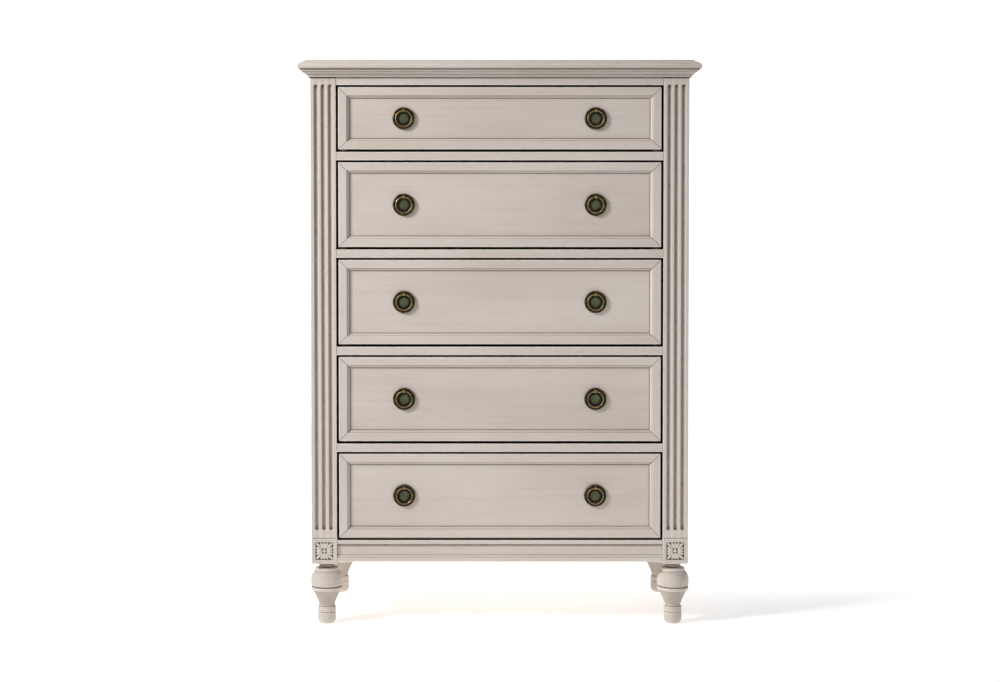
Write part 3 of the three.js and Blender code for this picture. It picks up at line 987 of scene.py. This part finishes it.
leg = {
    # edge values: glaze in the grooves, painted shade on the vase and on the neck under the block
    "profile": [(0, 0, 0), (16.5, 0, 6.0), (21.7, 9.0, 8.0), (21.8, 26.8, 1.6), (20.0, 28.2, 0.5, -0.9),
                (21.8, 29.8, 2.2), (21.8, 40.8, 2.8), (19.0, 43.2, 0.4, -0.8), (19.2, 48.0, 4.0, -0.4),
                (23.2, 59.0, 14.0, -0.4), (29.4, 72.6, 14.0, -0.4), (34.2, 81.6, 1.2, -0.4),
                (36.0, 82.2, 0.3, -0.6), (38.5, 84.6, 1.6), (38.5, 89.4, 1.4), (35.4, 91.0, 0.4, -1.0),
                (35.6, 92.4, 0.4, -1.0), (38.3, 94.8, 2.6), (39.1, 111.0, 16.0), (36.2, 121.4, 9.0),
                (30.6, 127.8, 3.0), (29.0, 128.8, 0.4, -0.6), (29.3, 130.4, 1.0), (29.3, 135.8, 2.6),
                (25.0, 137.4, 1.2, 0.2), (18.0, 137.8, 0.5, -1.3), (16.6, 139.2, 0.8, -1.2),
                (18.8, 143.4, 2.0, -0.6), (23.2, 149.0, 1.0, -0.6), (24.0, 150.8, 0, -1.2),
                (0, 150.8, 0, -1.2)],
    "fade": 2.0,
    "facets": 72,
}


def buildLeg(node, name):
    low, high = boxOf(node)
    centre = [(low[i] + high[i]) / 2 for i in range(2)]
    solid = solidMesh()
    addTurned(solid, soften(leg["profile"], False, leg["fade"]),
              lambda r, h, a: (centre[0] + r * math.cos(a), centre[1] + r * math.sin(a), h), leg["facets"])
    makePiece(name, solid, [paintAlong["z"]], "carcass", [node])


buildTopSlab()
buildCornice()
buildFrontRails()
buildBottomBoard()
buildBackPanel()
for number in range(1, 5):
    buildDivider(number)
for word, side in (("left", -1), ("right", 1)):
    buildPilaster(word)
    buildRosetteBlock(word)
    buildBoard(f"rear_post_{word}", f"rearPost{word.title()}", 1.0, paintAlong["z"])
    buildSidePanel(word, side)
    for place in ("front", "back"):
        buildLeg(f"leg_{place}_{word}", f"leg{place.title()}{word.title()}")
print("case built")


drawerFront = {
    "panelFace": 12.5,
    "panelInset": 26.75,
    "trim": 1.7,           # the moulded front is this much smaller than the planned one on each side
    # edge values: painted deep shade on the flank for the gaps round the drawer, glaze at the quirks of the
    # bevel, wear on the arris
    "outline": [(0, 0, 0, -0.4), (26.65, 0, 0), (26.65, 12.0, 0.2, -0.85), (26.05, 13.0, 0.8, -0.55),
                (25.25, 13.4, 0.3, -0.25), (22.45, 16.6, 3.0, -0.1), (20.65, 18.2, 0.3, -0.9),
                (19.65, 20, 0.7, 0.4), (0, 20, 1.4, 0.9), (0, 17.4, 0, -1.8), (0, 11.0, 0, -1.8),
                (0, 9.0, 0, 0.0)],
    "fade": 1.6,
    "mitreGap": 0.12,
    "joint": 0.25,
    "jointFade": 1.8,
}


def buildDrawerFront(number):
    settings = drawerFront
    low, high = boxOf(f"drawer_front_{number}")
    trim = settings["trim"]
    low, high = [low[0] + trim, low[1], low[2] + trim], [high[0] - trim, high[1], high[2] - trim]
    back = high[1]
    outline = soften(settings["outline"], True, settings["fade"])
    solid = solidMesh()
    corners = [(low[0], low[2], 1, 1), (high[0], low[2], -1, 1), (high[0], high[2], -1, -1),
               (low[0], high[2], 1, -1)]
    for i, (x0, z0, sx0, sz0) in enumerate(corners):
        x1, z1, sx1, sz1 = corners[(i + 1) % 4]
        run = Vector((x1 - x0, z1 - z0))
        step = run.normalized() * settings["mitreGap"]

        def along(share, u, w):
            ax, az = x0 + sx0 * u + step.x, z0 + sz0 * u + step.y
            bx, bz = x1 + sx1 * u - step.x, z1 + sz1 * u - step.y
            return (ax + (bx - ax) * share, back - w, az + (bz - az) * share)

        addRun(solid, outline, along, run.length, i % 2, settings["joint"], settings["jointFade"])
    inset = settings["panelInset"]
    face = settings["panelFace"]
    rings = [(0, 0, -1.0), (0, face - 0.5, -0.9), (0.4, face, -0.6), (1.2, face, -0.3), (4, face, -0.1),
             (14, face, 0.0)]
    loops = []
    for more, out, edge in rings:
        outlinePanel = roundedRectangle(low[0] + inset + more, high[0] - inset - more,
                                        low[2] + inset + more, high[2] - inset - more, 0.3)
        loops.append(solid.loop([(x, back - out, z, edge) for x, z, _ in outlinePanel]))
    solid.skin(loops)
    makePiece(f"drawerFront{number}", solid, [paintAlong["x"], paintAlong["z"]], f"drawer_{number}",
              [f"drawer_front_{number}"])


drawerBox = {
    "side": 12.0,
    "topRadius": 2.4,
    "backFoot": 16.2,      # the back starts above the bottom
    "backDrop": 3.0,       # and ends below the sides
    "gap": 0.1,
}


def buildDrawerBox(number):
    settings = drawerBox
    body = f"drawer_{number}"
    low, high = boxOf(f"drawer_box_{number}")
    wall = settings["side"]
    inner = wall + settings["gap"]
    solid = solidMesh()
    for x0, x1 in ((low[0], low[0] + wall), (high[0] - wall, high[0])):
        addSoftBox(solid, (x0, low[1], low[2]), (x1, high[1], high[2]), settings["topRadius"], 1)
    addSoftBox(solid, (low[0] + inner, high[1] - wall, low[2] + settings["backFoot"]),
               (high[0] - inner, high[1], high[2] - settings["backDrop"]), settings["topRadius"])
    makePiece(f"drawerBox{number}", solid, [woodAlongX, woodAlongY], body, [f"drawer_box_{number}"])
    buildBoard(f"drawer_bottom_{number}", f"drawerBottom{number}", 0.4, woodAlongX, body)


pull = {
    # edge values of 2.0 mark the domed middle, which takes the painted reflection
    "plate": [(0, 0, 0), (26.4, 0, 0.3), (27.2, 1.6, 1.0, 0.0), (26.9, 5.2, 1.4, 0.25),
              (25.2, 6.6, 1.5, 0.65), (23.3, 5.4, 0.9, 0.0), (22.2, 2.8, 0.6, -0.6), (19.8, 1.9, 1.0, -0.8),
              (14.0, 1.8, 0.5, -0.8), (13.0, 2.0, 0.3, -0.6), (12.8, 3.3, 0.6, 0.5), (11.4, 3.4, 0.3, -0.5),
              (10.4, 3.7, 0.4, 2.0), (7.0, 4.2, 2.0, 2.0), (0, 4.5, 0, 2.0)],
    "plateFade": 0.9,
    "plateFacets": 64,
    "letIn": 0.15,         # the plate sits this deep in the drawer front
    "ringRadius": 19.25,
    "wireRadius": 2.1,
    "ringSteps": 96,
    "wireSteps": 18,
    # worn gold with a painted highlight along the front of the ring and on the rim of the eye
    "rubbedAndHighlitRing": 0.95,    # edge value along the front of the ring and on the rim of the eye
    "eyeReach": 6.4,
    "eyeRise": 18.5,
    "eyeOuter": 4.0,
    "eyeHole": 2.75,
    "eyeThick": 6.0,
    "eyeSteps": 32,
    "stemHalf": 3.2,
}


def buildPull(number, word):
    settings = pull
    plateLow, plateHigh = boxOf(f"backplate_{number}_{word}")
    centreX, centreZ = (plateLow[0] + plateHigh[0]) / 2, (plateLow[2] + plateHigh[2]) / 2
    seat = plateHigh[1] + settings["letIn"]
    rubbedAndHighlit = settings["rubbedAndHighlitRing"]
    solid = solidMesh()
    addTurned(solid, soften(settings["plate"], False, settings["plateFade"]),
              lambda r, h, a: (centreX + r * math.cos(a), seat - h, centreZ + r * math.sin(a)),
              settings["plateFacets"])
    outer, hole, thick = settings["eyeOuter"], settings["eyeHole"], settings["eyeThick"] / 2
    eyeY, eyeZ = plateHigh[1] - settings["eyeReach"], centreZ + settings["eyeRise"]
    eyeSection = soften([(hole, -thick, 0.3), (outer, -thick, 0.8, rubbedAndHighlit), (outer, thick, 0.8, rubbedAndHighlit),
                         (hole, thick, 0.3)], True, 0.8)
    loops = []
    for step in range(settings["eyeSteps"]):
        a = 2 * math.pi * step / settings["eyeSteps"]
        loops.append(solid.loop([(centreX + along, eyeY + r * math.cos(a), eyeZ + r * math.sin(a), edge)
                                 for r, along, edge in eyeSection]))
    solid.skin(loops, ringed=True)
    stemX, stemZ = thick * 0.8, settings["stemHalf"]
    addSoftBox(solid, (centreX - stemX, eyeY + hole + 0.4, eyeZ - stemZ),
               (centreX + stemX, seat - 1.0, eyeZ + stemZ), 0.6)
    makePiece(f"backplate{number}{word.title()}", solid, [brass], f"drawer_{number}",
              [f"backplate_{number}_{word}"])
    ring = solidMesh()
    ringLow, ringHigh = boxOf(f"ring_{number}_{word}")
    ringY = (ringLow[1] + ringHigh[1]) / 2
    ringZ = eyeZ - settings["ringRadius"]
    loops = []
    for step in range(settings["ringSteps"]):
        a = 2 * math.pi * step / settings["ringSteps"]
        section = []
        for turn in range(settings["wireSteps"]):
            b = 2 * math.pi * turn / settings["wireSteps"]
            r = settings["ringRadius"] + settings["wireRadius"] * math.cos(b)
            y = ringY - settings["wireRadius"] * math.sin(b)
            section.append((centreX + r * math.sin(a), y, ringZ + r * math.cos(a), rubbedAndHighlit * math.sin(b)))
        loops.append(ring.loop(section))
    ring.skin(loops, ringed=True)
    makePiece(f"ring{number}{word.title()}", ring, [brass], f"pull_ring_{number}_{word}",
              [f"ring_{number}_{word}"])


for number in range(1, 6):
    buildDrawerFront(number)
    buildDrawerBox(number)
    for word in ("left", "right"):
        buildPull(number, word)
print("drawers built")


stage = {
    "radius": 7.6,         # a round pale bowl, wide enough to be looked at from every side
    "bend": 1.8,           # radius of the curve from floor to wall
    "bendSteps": 16,
    "height": 3.0,
    "facets": 96,
    "dimTo": -2.6,         # between these depths the floor turns dimmer, so that little of its light
    "brightFrom": -0.72,   # falls on the chest's front
    "dimBody": (0.18, 0.18, 0.18, 1.0),
    "paleBody": (0.8, 0.8, 0.8, 1.0),
    "dimGlow": (0.3, 0.3, 0.3, 1.0),
    "paleGlow": (0.56, 0.565, 0.58, 1.0),
    "behindFrom": -0.1,    # and between these it glows more behind the chest
    "behindTo": 0.5,
    "behindGlow": (0.93, 0.93, 0.93, 1.0),
    "roughness": 0.85,
    "skyLight": 0.09,
}


def buildStage():
    settings = stage
    radius, bend, steps, facets = (settings[key] for key in ("radius", "bend", "bendSteps", "facets"))
    outline = [(radius - bend + bend * math.sin(a), bend - bend * math.cos(a))
               for a in (math.pi / 2 * step / steps for step in range(steps + 1))]
    outline.append((radius, settings["height"]))
    points, faces = [(0.0, 0.0, 0.0)], []
    for r, z in outline:
        points += [(r * math.cos(a), r * math.sin(a), z)
                   for a in (2 * math.pi * step / facets for step in range(facets))]
    for i in range(facets):
        j = (i + 1) % facets
        faces.append((0, 1 + i, 1 + j))
        for row in range(len(outline) - 1):
            low, high = 1 + row * facets, 1 + (row + 1) * facets
            faces.append((low + i, high + i, high + j, low + j))
    mesh = bpy.data.meshes.new("studioFloor")
    mesh.from_pydata(points, [], faces)
    mesh.shade_smooth()
    floor = addObject("studioFloor", mesh)
    material, maker = startMaterial("paleFloor")
    depth = maker.make("ShaderNodeSeparateXYZ", None, {"Vector": maker.place()}, "Y")
    near = maker.ramp(depth, settings["dimTo"], settings["brightFrom"])
    body = maker.mix(near, settings["dimBody"], settings["paleBody"])
    glow = maker.mix(near, settings["dimGlow"], settings["paleGlow"])
    behind = maker.ramp(depth, settings["behindFrom"], settings["behindTo"])
    glow = maker.mix(behind, glow, settings["behindGlow"])
    endMaterial(maker, {"Base Color": body, "Roughness": settings["roughness"], "Emission Color": glow,
                        "Emission Strength": 1.0})
    material.cycles.emission_sampling = "NONE"     # the bowl is not sampled as a lamp
    mesh.materials.append(material)


lamps = {                  # places and sizes in metres
    "keyLamp": {"place": (-2.85, -1.75, 2.5), "target": (0, -0.2, 0.85), "size": 0.75, "power": 20.0,
                "spread": 70, "tint": (1.0, 0.985, 0.975)},
    "fillLamp": {"place": (0.6, -4.4, 1.2), "target": (0, 0, 0.8), "size": 2.0, "power": 3.0, "spread": 60},
    "topLamp": {"place": (0.0, -0.7, 3.3), "target": (0, -0.2, 0.7), "size": 2.4, "power": 10, "spread": 180},
}


def addLamp(name, place, target, size, power, spread, tint=(1.0, 1.0, 1.0)):
    data = bpy.data.lights.new(name, "AREA")
    data.size = size
    data.energy = power
    data.spread = math.radians(spread)
    data.color = tint
    lamp = addObject(name, data)
    lamp.location = place
    lamp.rotation_euler = (Vector(target) - Vector(place)).to_track_quat("-Z", "Y").to_euler()


cameraView = {
    "aside": 0.5,
    "distance": 4076.0,    # from the case front
    "height": 967.0,
    "pitch": 1.8,          # degrees, looking slightly down
    "sensor": 36.0,
    "lens": 60.73,
    "shift": -0.0601,
    "seesTo": 60000.0,
}


def addCamera():
    settings = cameraView
    data = bpy.data.cameras.new("camera")
    data.sensor_width = settings["sensor"]
    data.lens = settings["lens"]
    data.shift_y = settings["shift"]
    data.clip_end = settings["seesTo"] * mm
    camera = addObject("camera", data)
    camera.location = (settings["aside"] * mm, (frontY - settings["distance"]) * mm, settings["height"] * mm)
    camera.rotation_euler = (math.radians(90 - settings["pitch"]), 0, 0)
    bpy.context.scene.camera = camera


def buildWorld():
    world = bpy.data.worlds.new("studio")
    world.use_nodes = True
    background = world.node_tree.nodes["Background"]
    background.inputs["Color"].default_value = (1.0, 1.0, 1.0, 1.0)
    background.inputs["Strength"].default_value = stage["skyLight"]
    bpy.context.scene.world = world
    bpy.context.scene.view_settings.view_transform = "Standard"


buildStage()
for name, settings in lamps.items():
    addLamp(name, **settings)
buildWorld()
addCamera()
print("stage set")
